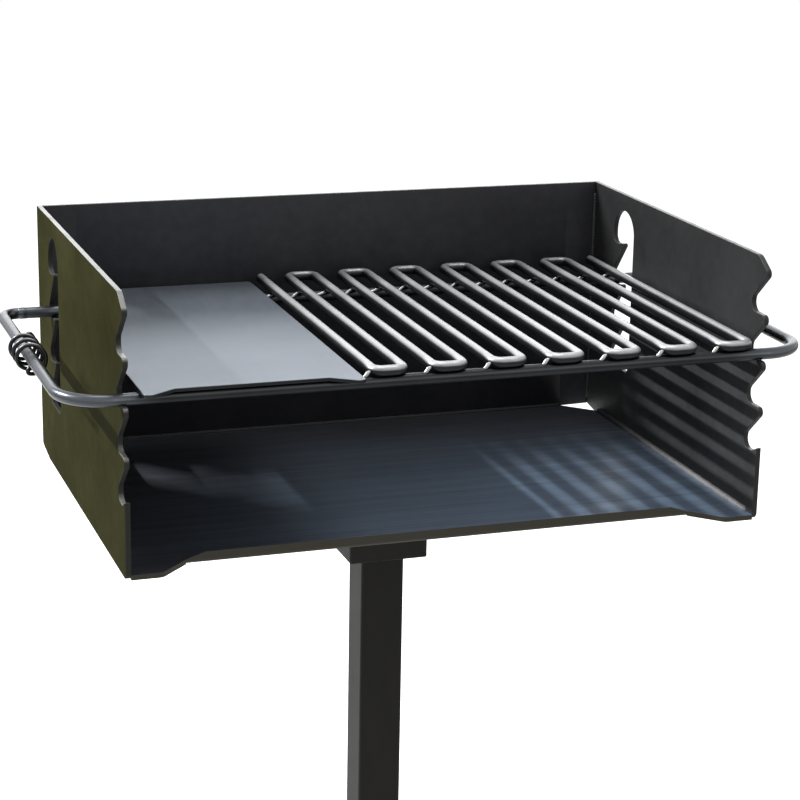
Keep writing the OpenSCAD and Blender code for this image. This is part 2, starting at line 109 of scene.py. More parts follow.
# %% [markdown]
# A finish in Blender is a tree of small nodes: noise that varies over the surface, ramps that turn
# the noise into colours, and a shader that turns the colours into paint or metal. Writing out every
# node and wire would bury the idea of a finish, so each common step is a short helper. All noise is
# read in object space, in metres, so that a pattern keeps its real size on every plate.

# %% Shader helpers
X_AXIS, Y_AXIS, Z_AXIS = range(3)


def add(tree, kind, **values):
    """A new node with some of its inputs or settings filled in."""
    node = tree.nodes.new(kind)
    for key, value in values.items():
        label = key.replace("_", " ")
        if label in node.inputs:
            node.inputs[label].default_value = value
        else:
            setattr(node, key, value)
    return node


def node_material(name, **values):
    """An empty node material, its tree and its shader with some inputs filled in."""
    material = bpy.data.materials.new(name)
    material.use_nodes = True
    tree = material.node_tree
    tree.nodes.clear()
    shader = add(tree, "ShaderNodeBsdfPrincipled", **values)
    output = tree.nodes.new("ShaderNodeOutputMaterial")
    tree.links.new(shader.outputs[0], output.inputs[0])
    return material, tree, shader


def object_space(tree, scale=(1, 1, 1)):
    """Object coordinates, multiplied by a scale."""
    place = tree.nodes.new("ShaderNodeTexCoord")
    mapping = add(tree, "ShaderNodeMapping", Scale=scale)
    tree.links.new(place.outputs["Object"], mapping.inputs["Vector"])
    return mapping.outputs[0]


def noise(tree, vector, scale, detail=4.0, roughness=0.55):
    """Noise between 0 and 1 at a number of waves for each metre."""
    node = add(tree, "ShaderNodeTexNoise", Scale=scale, Detail=detail, Roughness=roughness)
    tree.links.new(vector, node.inputs["Vector"])
    return node.outputs["Fac"]


def maths(tree, operation, *values):
    """A number worked out from sockets and plain numbers."""
    node = add(tree, "ShaderNodeMath", operation=operation)
    for place, value in zip(node.inputs, values):
        if isinstance(value, float):
            place.default_value = value
        else:
            tree.links.new(value, place)
    return node.outputs[0]


def span(tree, value, low, high, to_low=0.0, to_high=1.0):
    """A value moved from one range to another, held at the ends."""
    node = add(tree, "ShaderNodeMapRange", From_Min=low, From_Max=high, To_Min=to_low, To_Max=to_high)
    tree.links.new(value, node.inputs["Value"])
    return node.outputs["Result"]


def axis_value(tree, axis):
    """X, Y or Z of the surface point, in metres."""
    place = tree.nodes.new("ShaderNodeTexCoord")
    split = tree.nodes.new("ShaderNodeSeparateXYZ")
    tree.links.new(place.outputs["Object"], split.inputs[0])
    return split.outputs[axis]


def facing_up(tree):
    """Z part of the surface normal: 1 facing up, 0 upright and -1 facing down."""
    geometry = tree.nodes.new("ShaderNodeNewGeometry")
    split = tree.nodes.new("ShaderNodeSeparateXYZ")
    tree.links.new(geometry.outputs["Normal"], split.inputs[0])
    return split.outputs["Z"]


def ramp(tree, value, stops):
    """Colour ramp with (place, colour) stops."""
    node = tree.nodes.new("ShaderNodeValToRGB")
    elements = node.color_ramp.elements
    while len(elements) < len(stops):
        elements.new(0.5)
    for element, (place, colour) in zip(elements, stops):
        element.position = place
        element.color = (*colour, 1)
    tree.links.new(value, node.inputs["Fac"])
    return node.outputs["Color"]


def blend(tree, factor, first, second, mode="MIX"):
    """Two colours mixed by a factor. A colour may be a socket or three numbers."""
    node = add(tree, "ShaderNodeMix", data_type="RGBA", blend_type=mode)
    # A mix node has inputs for every data type: the factor is the first, the colours are 6 and 7.
    for label, colour in ((6, first), (7, second)):
        if isinstance(colour, tuple):
            node.inputs[label].default_value = (*colour, 1)
        else:
            tree.links.new(colour, node.inputs[label])
    if isinstance(factor, float):
        node.inputs[0].default_value = factor
    else:
        tree.links.new(factor, node.inputs[0])
    return node.outputs[2]


def grey(level):
    """A colour of three equal parts."""
    return (level,) * 3


def shaded(tree, tone, value, stops):
    """A tone multiplied by a colour ramp."""
    return blend(tree, 1.0, tone, ramp(tree, value, stops), "MULTIPLY")


def bump(tree, shader, height, strength, distance=0.0004):
    """Small relief on a shader."""
    node = add(tree, "ShaderNodeBump", Strength=strength, Distance=distance)
    tree.links.new(height, node.inputs["Height"])
    tree.links.new(node.outputs[0], shader.inputs["Normal"])


print("shader helpers ready")

# %% [markdown]
# The stage is a white floor and an even white surround, as in a catalogue picture. The surround is
# white for the camera and for mirror-like surfaces, but gives only a soft level of light, so that
# black enamel stays black. Four lamps do the modelling. The key lamp is a thin strip, high up behind
# the left back corner. Its long side runs in line with the cooking bars, so that their shadows are
# sharp: stripes of light fall between them on the right wall and on the floor of the firebox. A wide
# softbox stands low behind the grill, where the griddle and the bars mirror it as their sheen. A small
# lamp overhead draws the bright line along the rods, and a weak one in front opens the shadows under
# the grate.

# %% Stage and light
AMBIENT_LEVEL = 0.3
FLOOR_REACH = 12
FLOOR_TONE = 0.86
FLOOR_GLOW = 0.74
# Each lamp has its name, its place, the point that it faces, its width and height, and its power.
LAMPS = [
    ("key_strip", (-3.44, 2.1, 3.95), (0.0, 2.1, 1.2), (1.8, 0.07), 340),
    ("back_softbox", (1.2, 3.3, 2.35), (0.0, 0.0, 1.3), (4.5, 1.8), 50),
    ("overhead_lamp", (0.1, 0.2, 3.6), (0.0, 0.0, 1.25), (1.6, 1.1), 24),
    ("front_lamp", (1.1, -3.4, 2.4), (0.0, 0.0, 1.15), (2.0, 2.0), 18),
]


def lamp(name, place, target, size, power):
    """An area lamp of (width, height) that faces a point."""
    data = bpy.data.lights.new(name, "AREA")
    data.shape = "RECTANGLE"
    data.size, data.size_y = size
    data.energy = power
    obj = bpy.data.objects.new(name, data)
    aim = (Vector(target) - Vector(place)).to_track_quat("-Z", "Y")
    obj.matrix_world = Matrix.Translation(place) @ aim.to_matrix().to_4x4()
    bpy.context.scene.collection.objects.link(obj)


def white_surround():
    """World that is white for camera, glossy and transmission rays and softer for light."""
    world = bpy.data.worlds.new("surround")
    world.use_nodes = True
    tree = world.node_tree
    tree.nodes.clear()
    path = tree.nodes.new("ShaderNodeLightPath")
    seen = maths(tree, "MAXIMUM", path.outputs["Is Camera Ray"], path.outputs["Is Glossy Ray"])
    seen = maths(tree, "MAXIMUM", seen, path.outputs["Is Transmission Ray"])
    background = add(tree, "ShaderNodeBackground", Color=(1, 1, 1, 1))
    tree.links.new(span(tree, seen, 0, 1, AMBIENT_LEVEL, 1), background.inputs["Strength"])
    output = tree.nodes.new("ShaderNodeOutputWorld")
    tree.links.new(background.outputs[0], output.inputs[0])
    bpy.context.scene.world = world


def floor_material():
    """Pale matt floor. For the camera a share of its light is its own, so that it ends up white."""
    material, tree, shader = node_material("pale_floor", Base_Color=(*grey(FLOOR_TONE), 1), Roughness=0.9,
                                           Specular_IOR_Level=0.0, Emission_Color=(*grey(FLOOR_GLOW), 1))
    path = tree.nodes.new("ShaderNodeLightPath")
    tree.links.new(path.outputs["Is Camera Ray"], shader.inputs["Emission Strength"])
    return material


def stage_floor():
    """A flat square far wider than the picture."""
    bm = bmesh.new()
    bmesh.ops.create_grid(bm, x_segments=1, y_segments=1, size=FLOOR_REACH)
    mesh = bpy.data.meshes.new("floor")
    bm.to_mesh(mesh)
    bm.free()
    mesh.materials.append(floor_material())
    floor = bpy.data.objects.new("floor", mesh)
    bpy.context.scene.collection.objects.link(floor)


stage_floor()
white_surround()
for settings in LAMPS:
    lamp(*settings)
bpy.context.scene.view_settings.view_transform = "Standard"
print("lamps:", [settings[0] for settings in LAMPS])

# %% [markdown]
# The firebox is welded from thick plate and sprayed with black heat-resisting enamel. Such paint is
# never one flat black: it has a fine orange-peel texture, soft cloudy patches and small chips. One
# function builds all of it, and its tones tell the plates apart. Inside the box the lower part is made
# lighter below the grate: painted light, so that the stripes of light there come out brighter. The
# outer faces have a warm olive tint, a painted reflection of grass, which makes them lighter than the
# inner ones; those are cooler and darker. The back plate is a lighter copy of the same black, painted
# light for a plate whose inner face the key lamp doesn't reach. The post is the blackest.

# %% Black enamel
CLOUD_WAVES = 7.0
GRAIN_WAVES = 90.0
PEEL_WAVES = 900.0
CHIP_WAVES = 11.0
CHIP_RIM = 1.6
CHIP_TONE = (0.34, 0.33, 0.30)
PAINTED_LIGHT_HEIGHTS = (1.285, 1.25)


def enamel(name, dark, light, roughness=(0.42, 0.58), gloss=0.3, chips=0.0, stretch=(1, 1, 1), painted_light_below=1.0):
    """Black heat-resisting paint between two tones, with soft patches, small chips and fine relief.

    chips is the size of a chip in waves, and the last argument says how much lighter the lower part
    is painted, as painted light below the grate."""
    material, tree, shader = node_material(name, Specular_IOR_Level=gloss)
    space = object_space(tree, stretch)
    clouds = noise(tree, space, CLOUD_WAVES, 5.0, 0.6)
    grain = noise(tree, space, GRAIN_WAVES, 3.0)
    peel = noise(tree, object_space(tree), PEEL_WAVES, 2.0)
    tone = ramp(tree, clouds, [(0.32, dark), (0.7, light)])
    tone = shaded(tree, tone, grain, [(0.35, grey(0.88)), (0.65, grey(1.08))])
    # Painted light: the tone is made lighter below the grate, so that the stripes of light there come out
    # brighter.
    if painted_light_below > 1:
        tone = blend(tree, span(tree, axis_value(tree, Z_AXIS), *PAINTED_LIGHT_HEIGHTS), tone, grey(painted_light_below), "MULTIPLY")
    if chips:
        spots = add(tree, "ShaderNodeTexVoronoi", Scale=CHIP_WAVES)
        tree.links.new(object_space(tree), spots.inputs["Vector"])
        chipped = span(tree, spots.outputs["Distance"], chips, chips * CHIP_RIM, 1.0, 0.0)
        tone = blend(tree, chipped, tone, CHIP_TONE)
    tree.links.new(tone, shader.inputs["Base Color"])
    tree.links.new(span(tree, clouds, 0.3, 0.7, *roughness), shader.inputs["Roughness"])
    bump(tree, shader, peel, 0.12)
    return material


# The inner walls are made lighter below the grate, as painted light.
inner_enamel = enamel("inner_enamel", (0.0140, 0.0144, 0.0150), (0.0230, 0.0238, 0.0248), chips=0.022,
                      painted_light_below=2.2)
# The olive tint of the outer faces is a painted reflection of grass, and it makes them lighter.
outer_enamel = enamel("outer_enamel", (0.0160, 0.0163, 0.0035), (0.037, 0.0355, 0.013), (0.7, 0.8), 0.012,
                      chips=0.02)
# The back plate is a lighter copy of the walls' black: painted light on a plate that the key lamp doesn't
# reach.
back_enamel = enamel("back_enamel", (0.029, 0.0295, 0.035), (0.043, 0.044, 0.051), chips=0.018)
post_enamel = enamel("post_enamel", (0.0080, 0.0076, 0.0062), (0.0135, 0.0129, 0.0108), (0.5, 0.62), 0.2,
                     stretch=(1, 1, 0.2))
socket_enamel = enamel("socket_enamel", (0.011, 0.0105, 0.0085), (0.019, 0.018, 0.015), (0.48, 0.6), 0.2)
painted_weld = enamel("painted_weld", (0.022, 0.022, 0.024), (0.042, 0.042, 0.044), (0.35, 0.5), 0.5)
print("enamels ready")

# %% [markdown]
# Hands, tongs and the grate itself rub the enamel off the cut edges of the plates. Where the edges
# face up, at the front and along the rim, they turn to bright steel, partly from this wear and partly
# as a painted highlight where light catches them. The surface normal says which way a point faces, and
# its Z part steers between enamel and bright steel. It is the same normal from every side, so the mark
# stays put when the camera moves. The left plate's edges get a light copy with the painted highlight,
# the right and back plates a dark copy. The weld bead at the right of the floor gets a painted
# highlight too: two ranges, along X and along Y, make it bright at the right and towards the front.

# %% Worn and highlit edges
WEAR_WAVES = 45.0
UPWARD_SLOPES = (0.35, 0.75)
FRONT_HALF = (0.02, -0.02)
BACK_SHARE = 0.12
RIM_HEIGHTS = (1.355, 1.362)
SEAM_GRAIN_WAVES = 120.0
LIT_RIGHT = (0.27, 0.29)
LIT_FRONT = (0.10, -0.12)


def worn_and_highlit_edge(name, paint, metal):
    """Paint worn to metal with a painted highlight where the surface faces up, at the front and along the
    top.
    """
    material, tree, shader = node_material(name, Specular_IOR_Level=0.3)
    broken = noise(tree, object_space(tree), WEAR_WAVES, 5.0, 0.7)
    upward = span(tree, facing_up(tree), *UPWARD_SLOPES)
    patchy = span(tree, broken, 0.3, 0.5, 0.45, 1.0)
    front = span(tree, axis_value(tree, Y_AXIS), *FRONT_HALF, BACK_SHARE, 1.0)
    rim = span(tree, axis_value(tree, Z_AXIS), *RIM_HEIGHTS)
    # Painted highlight and wear: the edges that face up are made bright.
    bare_and_lit = maths(tree, "MULTIPLY", upward, patchy)
    worn_and_lit = maths(tree, "MULTIPLY", bare_and_lit, maths(tree, "MAXIMUM", front, rim))
    tree.links.new(blend(tree, worn_and_lit, paint, metal), shader.inputs["Base Color"])
    tree.links.new(span(tree, worn_and_lit, 0.0, 1.0, 0.55, 0.34), shader.inputs["Roughness"])
    bump(tree, shader, broken, 0.1)
    return material


def highlit_seam():
    """Painted bead with a painted highlight at the right, brighter towards the front."""
    material, tree, shader = node_material("scraped_weld", Specular_IOR_Level=0.3)
    rough = noise(tree, object_space(tree), SEAM_GRAIN_WAVES, 4.0)
    right = span(tree, axis_value(tree, X_AXIS), *LIT_RIGHT)
    front = span(tree, axis_value(tree, Y_AXIS), *LIT_FRONT)
    # Painted highlight: the bead is made bright at the right and towards the front, where light catches it.
    tone = blend(tree, maths(tree, "MULTIPLY", right, front), (0.020, 0.021, 0.024), (0.20, 0.20, 0.205))
    tone = shaded(tree, tone, rough, [(0.3, grey(0.8)), (0.7, grey(1.15))])
    tree.links.new(tone, shader.inputs["Base Color"])
    tree.links.new(span(tree, rough, 0.3, 0.7, 0.5, 0.62), shader.inputs["Roughness"])
    bump(tree, shader, rough, 0.15)
    return material


scraped_weld = highlit_seam()
# The left plate's edges get the light copy with the painted highlight, the right and back plates a dark
# one.
worn_side_edge = worn_and_highlit_edge("worn_side_edge", (0.012, 0.012, 0.009), (0.225, 0.225, 0.216))
worn_dark_edge = worn_and_highlit_edge("worn_dark_edge", (0.014, 0.014, 0.014), (0.034, 0.033, 0.031))
worn_lip_edge = worn_and_highlit_edge("worn_lip_edge", (0.040, 0.036, 0.024), (0.12, 0.118, 0.11))
print("edge finishes ready")

# %% [markdown]
# The floor of the firebox shows where the ashes have been raked out: long soft streaks run across it.
# Right of the middle and towards the front the paint is made lighter and slate blue: painted light
# where light reaches the floor past the left plate, and a painted reflection of blue sky. Stretching
# the noise along X draws the streaks. Two ranges, one along X and one along Y, place the painted light,
# and the streaks are a little smoother than the paint, so that they shine where light grazes them.

# %% Floor of the firebox
LIT_ACROSS = (-0.30, 0.12)
LIT_ALONG = (0.12, -0.16)
PATCHINESS = 0.7
STREAKS = (1.2, 26, 26)
FINE_LINES = (3, 160, 160)
PATCHES = (1, 2, 1)


def raked_floor():
    """Paint with long streaks, with painted light making it slate blue in the middle, right and front."""
    material, tree, shader = node_material("raked_floor", Specular_IOR_Level=0.35)
    streaks = noise(tree, object_space(tree, STREAKS), 3.0, 7.0, 0.62)
    fine = noise(tree, object_space(tree, FINE_LINES), 4.0, 5.0, 0.6)
    patches = noise(tree, object_space(tree, PATCHES), 5.0, 5.0)
    # Painted light and reflection: lighter and bluer at the right and towards the front.
    across = span(tree, axis_value(tree, X_AXIS), *LIT_ACROSS)
    along = span(tree, axis_value(tree, Y_AXIS), *LIT_ALONG)
    patches_and_light = maths(tree, "MULTIPLY_ADD", patches, PATCHINESS, maths(tree, "MULTIPLY", across, along))
    tone = blend(tree, span(tree, patches_and_light, 0.3, 1.2), (0.044, 0.046, 0.053), (0.104, 0.144, 0.201))
    tone = shaded(tree, tone, streaks, [(0.3, (0.72, 0.72, 0.75)), (0.5, grey(0.97)),
                                        (0.72, (1.28, 1.28, 1.26))])
    tone = shaded(tree, tone, fine, [(0.3, grey(0.88)), (0.7, grey(1.12))])
    tree.links.new(tone, shader.inputs["Base Color"])
    tree.links.new(span(tree, streaks, 0.3, 0.7, 0.5, 0.32), shader.inputs["Roughness"])
    bump(tree, shader, fine, 0.1, 0.0006)
    return material


floor_enamel = raked_floor()
print("floor finish ready")

# %% [markdown]
# The steel that meets food isn't painted. The griddle is a cold-rolled sheet whose grain runs front to
# back, smooth enough to mirror the dark back plate in its rear part and the bright surround in front.
# The bars are round stock. Their tops are made bright, a painted highlight, and their flanks and
# undersides nearly black, a painted shade, so the normal's Z part steers between the two. The grips get
# the same. The frame rods are blacker, and their handles outside the box are made lighter than the rod
# inside it, as painted light. Where the metal is clean, most of its look is what it reflects, and the
# noise mostly changes how sharp that reflection is.

# %% Bare steel
METAL_WAVES = 60.0
STAIN_WAVES = 9.0
HEAT_WAVES = 14.0
HIGHLIGHT_SLOPES = (0.42, 0.95)
# The painted highlight on the front turns of the bars reaches further down, so they count as facing up
# more.
HIGHLIT_TURNS = (-0.20, -0.22)
TURN_LIFT = 0.3
HANDLE_LIGHT_REACH = 0.05


def handle_light_tone(tree, tone, start, colour):
    """Painted light: a tone that turns to the handles' lighter colour beyond a distance left and right."""
    distance = maths(tree, "ABSOLUTE", axis_value(tree, X_AXIS))
    return blend(tree, span(tree, distance, start, start + HANDLE_LIGHT_REACH), tone, colour)


def highlight_and_shade_tone(tree, tone, flank_shade):
    """A tone left only where the surface faces up, as a painted highlight, and painted shade elsewhere."""
    turns = span(tree, axis_value(tree, Y_AXIS), *HIGHLIT_TURNS, 0.0, TURN_LIFT)
    lifted = maths(tree, "ADD", facing_up(tree), turns)
    return blend(tree, span(tree, lifted, *HIGHLIGHT_SLOPES), flank_shade, tone)


def steel(name, dark, light, roughness, stretch, heat=None, relief=0.06, shades=(0.93, 1.05), lit_handles=None,
          shaded_flanks=None, metallic=1.0):
    """Metal between two tones with stretched grain. Heat and painted light on handles and flanks are
    extras.
    """
    material, tree, shader = node_material(name, Metallic=metallic)
    grain = noise(tree, object_space(tree, stretch), METAL_WAVES, 6.0, 0.6)
    stains = noise(tree, object_space(tree), STAIN_WAVES, 4.0)
    tone = ramp(tree, stains, [(0.3, dark), (0.7, light)])
    # Painted light: the handles outside the box are lighter than the rod inside it.
    if lit_handles:
        tone = handle_light_tone(tree, tone, *lit_handles)
    # Painted highlight and shade: bright where the surface faces up, dark on the flanks and below.
    if shaded_flanks:
        tone = highlight_and_shade_tone(tree, tone, shaded_flanks)
    tone = shaded(tree, tone, grain, [(0.3, grey(shades[0])), (0.7, grey(shades[1]))])
    if heat:
        warm = span(tree, noise(tree, object_space(tree), HEAT_WAVES, 3.0), 0.5, 0.75, 0.0, 0.5)
        tone = blend(tree, warm, tone, heat)
    tree.links.new(tone, shader.inputs["Base Color"])
    tree.links.new(span(tree, grain, 0.25, 0.75, *roughness), shader.inputs["Roughness"])
    bump(tree, shader, grain, relief)
    return material


griddle_steel = steel("griddle_steel", (0.146, 0.168, 0.199), (0.182, 0.206, 0.240), (0.40, 0.46),
                      (6, 0.5, 6), relief=0.008, shades=(0.96, 1.03), metallic=0.82)
bar_steel = steel("bar_steel", (0.42, 0.425, 0.432), (0.52, 0.525, 0.532), (0.36, 0.46), (2, 0.5, 2),
                  shaded_flanks=(0.014, 0.015, 0.017), metallic=0.55)
rod_steel = steel("rod_steel", (0.025, 0.026, 0.028), (0.040, 0.041, 0.044), (0.28, 0.38), (0.5, 2, 2),
                  lit_handles=(0.27, (0.095, 0.103, 0.114)))
wire_steel = steel("wire_steel", (0.15, 0.152, 0.158), (0.24, 0.243, 0.25), (0.34, 0.44), (3, 3, 3),
                   shaded_flanks=(0.035, 0.036, 0.039))
bolt_steel = steel("bolt_steel", (0.12, 0.115, 0.1), (0.22, 0.21, 0.19), (0.4, 0.55), (4, 4, 4))
weld_steel = steel("weld_steel", (0.30, 0.30, 0.305), (0.5, 0.5, 0.5), (0.3, 0.45), (5, 5, 5),
                   heat=(0.34, 0.29, 0.22), relief=0.25)
print("steels ready")

# %% [markdown]
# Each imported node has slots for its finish, and a table says which finish it gets. Some nodes get a
# finer mesh further down. The others are shown as they were packed: the post, the collars, the
# griddle's beads, and the rods and bars of the grate. A node that was forgotten in the table stops
# the script here, which is better than a grey part in the picture.

# %% Give every node its finish
finishes = {
    "left_side_plate": inner_enamel, "right_side_plate": inner_enamel, "back_plate": back_enamel,
    "floor_plate": floor_enamel, "post": post_enamel, "socket_sleeve": socket_enamel,
    "socket_collars": socket_enamel, "griddle_plate": griddle_steel, "cooking_bars": bar_steel,
    "grate_hoop": rod_steel, "rear_rod": rod_steel, "hoop_welds": rod_steel, "left_spring_grip": wire_steel,
    "right_spring_grip": wire_steel, "socket_bolts": bolt_steel, "bolt_washers": bolt_steel,
    "bolt_nuts": bolt_steel, "bar_welds": weld_steel, "griddle_welds": weld_steel,
    "floor_welds": painted_weld, "corner_welds": painted_weld, "socket_welds": painted_weld,
}
for name, obj in nodes.items():
    for place in obj.material_slots:
        place.material = finishes[name]
print("dressed:", len(nodes))

# %% [markdown]
# A sheared plate never has knife-sharp edges: a grinder takes about half a millimetre off, and that
# narrow round is what catches the light along the rim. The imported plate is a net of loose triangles,
# so a copy is welded together and its flat faces are made whole first. Then every edge where two faces
# meet at a steep angle is bevelled. Where a flat face meets its bevel the edge is marked sharp, which
# keeps the big faces evenly shaded.

# %% Rounded edges
SEAM = 0.00006
FLAT = math.radians(0.4)
STEEP = math.radians(40)
CREASE = math.radians(28)
TINY = 1e-6


def joined_copy(name):
    """A bmesh of a node with its triangles joined and its flat faces made whole."""
    bm = bmesh.new()
    bm.from_mesh(nodes[name].data)
    bmesh.ops.remove_doubles(bm, verts=bm.verts, dist=SEAM)
    bmesh.ops.dissolve_limit(bm, angle_limit=FLAT, verts=bm.verts, edges=bm.edges)
    return bm


def face_angle(edge):
    """Angle between the two faces of an edge, or nothing at an open one."""
    return edge.calc_face_angle() if len(edge.link_faces) == 2 else 0


def body_name(name):
    """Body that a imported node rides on."""
    return nodes[name].parent.name.split(":")[-1]


def make_piece(name, bm, materials, replaced):
    """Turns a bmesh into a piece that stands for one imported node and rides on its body."""
    mesh = bpy.data.meshes.new(name)
    bm.to_mesh(mesh)
    bm.free()
    for material in materials:
        mesh.materials.append(material)
    piece = bpy.data.objects.new(name, mesh)
    bpy.context.scene.collection.objects.link(piece)
    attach(piece, body_name(replaced))
    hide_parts(replaced)
    print(name, len(mesh.polygons), "faces")
    return piece


def rounded_plate(name, node, radius, materials, choose, shape=None, clamp=False):
    """A plate with rounded edges. choose(face) gives the place of its finish in materials.

    shape(bm) may change the plate first. clamp holds the bevel back where an edge has no room for it."""
    bm = joined_copy(node)
    if shape:
        shape(bm)
    steep = [edge for edge in bm.edges if face_angle(edge) > STEEP]
    bevelled = bmesh.ops.bevel(bm, geom=steep, offset=radius, offset_type="OFFSET", segments=3, profile=0.5,
                               affect="EDGES", material=-1, clamp_overlap=clamp)
    narrow = set(bevelled["faces"])
    bmesh.ops.recalc_face_normals(bm, faces=bm.faces)
    for face in bm.faces:
        face.smooth = True
        face.material_index = choose(face)
    for edge in bm.edges:
        inside = [face in narrow for face in edge.link_faces]
        edge.smooth = all(inside) or (not any(inside) and face_angle(edge) < CREASE)
    if not clamp:
        bmesh.ops.dissolve_degenerate(bm, dist=TINY, edges=bm.edges)
    holes = sum(len(edge.link_faces) != 2 for edge in bm.edges)
    print(node, "rounded edges:", len(steep), "open edges:", holes)
    make_piece(name, bm, materials, node)


print("rounding ready")

# %% [markdown]
# Rain has to leave the firebox. So the two back corners of the floor are cut off, and the lower edges
# of the walls rise a little there, in a slope on the sides and in a short step on the back. Each mesh
# is cut where the rise starts and where it ends, and its lower part is moved up beyond, less and less
# towards a height where nothing moves. That leaves the notches and the slots alone.

# %% Walls, griddle and floor
DRAIN_RISE = 0.0052
DRAIN_REACH = 0.034
BACK_STEP = (0.0335, 0.0325)
RELIEF_HEIGHT = 0.012
SIDE_ROUND = 0.0005
BACK_ROUND = 0.0006
GRIDDLE_ROUND = 0.0007
FLOOR_ROUND = 0.0003
FRONT_EDGE = 0.004
# A face looks along an axis when that part of its normal is above one of these.
SQUARE_ON = 0.9
GRIDDLE_TOP = 0.5
FLOOR_TOP = 0.3
floor_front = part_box("floor_plate")[0].y
back_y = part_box("back_plate")[0].y
inner_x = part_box("back_plate")[1].x


def drain_relief(axis, start, finish):
    """A change of shape: the lower edge of a plate rises from start to finish and stays up beyond."""
    def change(bm):
        low = min(vert.co.z for vert in bm.verts)
        normal = Vector((axis == X_AXIS, axis == Y_AXIS, 0))
        for place in (start, finish):
            for side in ((-1, 1) if axis == X_AXIS else (1,)):
                bmesh.ops.bisect_plane(bm, geom=bm.verts[:] + bm.edges[:] + bm.faces[:], dist=TINY,
                                       plane_co=normal * place * side, plane_no=normal)
        for vert in bm.verts:
            beyond = abs(vert.co.x) if axis == X_AXIS else vert.co.y
            depth = 1 - (vert.co.z - low) / RELIEF_HEIGHT
            if depth > 0 and beyond > start:
                vert.co.z += depth * DRAIN_RISE * min(1, (beyond - start) / (finish - start))
    return change


def side_finish(outward):
    """Chooser for a side plate: 0 inside, 1 outside, 2 on the cut edge."""
    def choose(face):
        if abs(face.normal.x) < SQUARE_ON:
            return 2
        return 1 if face.normal.x * outward > 0 else 0
    return choose


def floor_finish(face):
    """Chooser for the firebox floor: 1 on its front edge and below, 0 on what the coals touch."""
    return int(face.normal.z < FLOOR_TOP or face.calc_center_median().y < floor_front + FRONT_EDGE)


# The left plate's cut edges carry the painted highlight.
for side, outward, edge in (("left", -1, worn_side_edge), ("right", 1, worn_dark_edge)):
    rounded_plate(side + "_side", side + "_side_plate", SIDE_ROUND, [inner_enamel, outer_enamel, edge],
                  side_finish(outward), drain_relief(Y_AXIS, back_y - DRAIN_REACH, back_y))
rounded_plate("back", "back_plate", BACK_ROUND, [back_enamel, worn_dark_edge],
              lambda face: int(face.normal.z > SQUARE_ON),
              drain_relief(X_AXIS, *(inner_x - reach for reach in BACK_STEP)))
# Painted shade: the griddle's faces that don't face up, its edges and underside, take the dark rod steel.
rounded_plate("griddle", "griddle_plate", GRIDDLE_ROUND, [griddle_steel, rod_steel],
              lambda face: int(face.normal.z < GRIDDLE_TOP))
rounded_plate("firebox_floor", "floor_plate", FLOOR_ROUND, [floor_enamel, worn_lip_edge], floor_finish,
              clamp=True)

# %% [markdown]
# The socket is a short stretch of sawn tube, and its bolts, washers and nuts are bought parts. Their
# edges are broken too, so they go through the same rounding. The finish is the same all round, so the
# chooser always answers 0.

# %% Socket and fasteners
for name, node, radius, material in (("socket", "socket_sleeve", 0.0009, socket_enamel),
                                     ("bolts", "socket_bolts", 0.0004, bolt_steel),
                                     ("washers", "bolt_washers", 0.0003, bolt_steel),
                                     ("nuts", "bolt_nuts", 0.0004, bolt_steel)):
    rounded_plate(name, node, radius, [material], lambda face: 0)

# %% [markdown]
# The grips are springs of round wire that keep the handle cool. On the bench the wire is wound on a
# mandrel, and its two ends are bent in until they stand square on the handle. A ring of edges is the
# wire's section, and it is drawn along the same route. It starts on the rod's surface with a short
# straight stretch and a quarter bend. bmesh's spin with a dvec moves forward while it turns, which is
# exactly how a spring is wound. The far end mirrors the start. The wire lies at the origin until it
# is whole, and then it is turned and moved to the middle of the handle.

# %% Spring grips
GRIP_WIRE = 0.004
GRIP_BEND = 0.0026
GRIP_TURNS = 3.5
GRIP_PITCH = 0.018
GRIP_START = math.radians(240)
HANDLE_ROD = 0.0111
WIRE_SIDES = 16
STEPS_IN_TURN = 40
STEPS_IN_BEND = 6
COIL_RADIUS = HANDLE_ROD / 2 + GRIP_WIRE + GRIP_BEND
STRAIGHT = COIL_RADIUS - GRIP_BEND - HANDLE_ROD / 2


def only(kind, items):
    """The verts or the edges in a list of both."""
    return [item for item in items if isinstance(item, kind)]


def wire_ring(bm):
    """The first ring of the wire. It faces X and stands at the rod's surface."""
    disc = bmesh.ops.create_circle(bm, cap_ends=False, radius=GRIP_WIRE / 2, segments=WIRE_SIDES)["verts"]
    bmesh.ops.rotate(bm, verts=disc, cent=(0, 0, 0), matrix=Matrix.Rotation(math.pi / 2, 3, "Y"))
    bmesh.ops.translate(bm, verts=disc, vec=(HANDLE_ROD / 2, 0, 0))
    return list(dict.fromkeys(edge for vert in disc for edge in vert.link_edges))


def draw_straight(bm, ring, step):
    """A straight stretch of wire from a ring. Returns the ring at its end."""
    out = bmesh.ops.extrude_edge_only(bm, edges=ring)["geom"]
    bmesh.ops.translate(bm, verts=only(bmesh.types.BMVert, out), vec=step)
    return only(bmesh.types.BMEdge, out)


def draw_round(bm, ring, centre, angle, steps, advance=(0, 0, 0)):
    """A bent stretch of wire from a ring, turned from +X towards +Z. Returns the ring at its end."""
    verts = list(dict.fromkeys(vert for edge in ring for vert in edge.verts))
    out = bmesh.ops.spin(bm, geom=verts + ring, cent=centre, axis=(0, -1, 0), dvec=advance, angle=angle,
                         steps=steps, use_merge=False)["geom_last"]
    return only(bmesh.types.BMEdge, out)


def handle_middle(node):
    """Point on the middle line of a handle, halfway along its grip."""
    low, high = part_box(node)
    hoop_low, hoop_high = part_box("grate_hoop")
    x = math.copysign(hoop_high.x - HANDLE_ROD / 2, low.x)
    return Vector((x, (low.y + high.y) / 2, (hoop_low.z + hoop_high.z) / 2))


